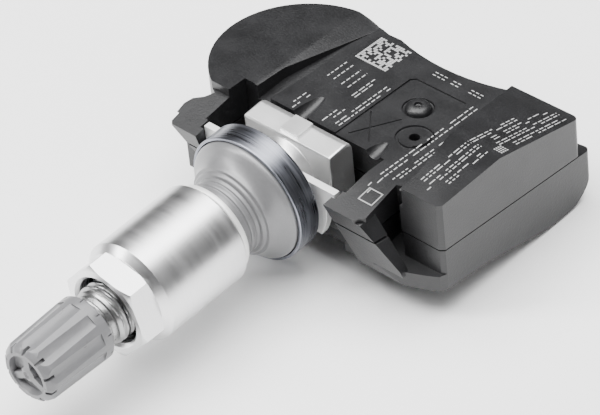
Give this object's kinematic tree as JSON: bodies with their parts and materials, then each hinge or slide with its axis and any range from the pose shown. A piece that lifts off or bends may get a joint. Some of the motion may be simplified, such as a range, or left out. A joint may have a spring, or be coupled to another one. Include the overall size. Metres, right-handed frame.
{
  "type": "tire pressure monitor",
  "caption": "Wheel-side tyre pressure monitor: dark moulded sensor housing held on the cross head of a threaded metal clamp-in valve with grommet, washer, sleeve nut and cap.",
  "frame": {"origin": "where the valve's axis meets the middle of the stem's cross head, which is the axis the housing tilts about", "axes": "-Y along the valve towards its cap, +Z out of the housing's deck, +X along the cross head towards the rectangular end of the housing"},
  "size_m": [0.0476, 0.0772, 0.0205],
  "materials": {
    "black_nylon": "moulded glass-filled nylon, fine satin texture",
    "bright_steel": "bright stamped sheet",
    "board_green": "solder-mask laminate",
    "cell_steel": "plain pressed can",
    "chip_black": "moulded epoxy",
    "black_rubber": "matt",
    "ceramic": "matt ceramic",
    "ferrite": "matt sintered ferrite",
    "copper": "enamelled wire",
    "satin_aluminium": "satin",
    "brushed_steel": "cool grey, finely brushed along the axis",
    "grey_rubber": "matt mid grey",
    "nut_aluminium": "bright satin",
    "grey_plastic": "satin grey",
    "brass": "turned",
    "spring_steel": "drawn wire"
  },
  "bodies": {
    "housing": {"housing_cover": "black_nylon", "base_cover": "black_nylon", "locking_plate": "bright_steel", "circuit_board": "board_green", "battery_cell": "cell_steel", "battery_tab_plus": "bright_steel", "battery_tab_minus": "bright_steel", "pressure_sensor": "chip_black", "port_gasket": "black_rubber", "crystal": "cell_steel", "capacitor_front": "ceramic", "capacitor_rear": "ceramic", "radio_chip": "chip_black", "coil_core": "ferrite", "coil_winding": "copper", "rf_antenna": "copper"},
    "valve": {"valve_stem": "satin_aluminium", "collar": "brushed_steel", "grommet": "grey_rubber", "core_barrel": "brass", "core_gasket": "black_rubber", "core_spring": "spring_steel"},
    "core": {"core_pin": "spring_steel", "core_cup": "black_rubber"},
    "nut_carrier": {"slip_washer": "bright_steel"},
    "nut": {"sleeve_nut": "nut_aluminium"},
    "cap_carrier": {"cap_seal": "black_rubber"},
    "cap": {"valve_cap": "grey_plastic"}
  },
  "joints": [
    {"name": "valve_tilt", "type": "hinge", "parent": "housing", "child": "valve", "pos_m": [0, 0, 0], "axis": [1, 0, 0], "range_deg": [-5, 5]},
    {"name": "core_press", "type": "slide", "parent": "valve", "child": "core", "axis": [0, 1, 0], "range_m": [0, 0.0012], "stiffness_N_per_m": 800, "springref_m": -0.0005, "deforming": ["core_spring"]},
    {"name": "nut_travel", "type": "slide", "parent": "valve", "child": "nut_carrier", "axis": [0, -1, 0], "range_m": [0, 0.005]},
    {"name": "nut_spin", "type": "hinge", "parent": "nut_carrier", "child": "nut", "pos_m": [0, -0.025, 0], "axis": [0, -1, 0], "range_deg": [0, 1800]},
    {"name": "cap_travel", "type": "slide", "parent": "valve", "child": "cap_carrier", "axis": [0, -1, 0], "range_m": [0, 0.00714]},
    {"name": "cap_spin", "type": "hinge", "parent": "cap_carrier", "child": "cap", "pos_m": [0, -0.045, 0], "axis": [0, -1, 0], "range_deg": [0, 3240]}
  ],
  "couplings": [
    {"joint": "nut_spin", "follows": "nut_travel", "rad_per_m": 6283.2},
    {"joint": "cap_spin", "follows": "cap_travel", "rad_per_m": 7915.8}
  ]
}
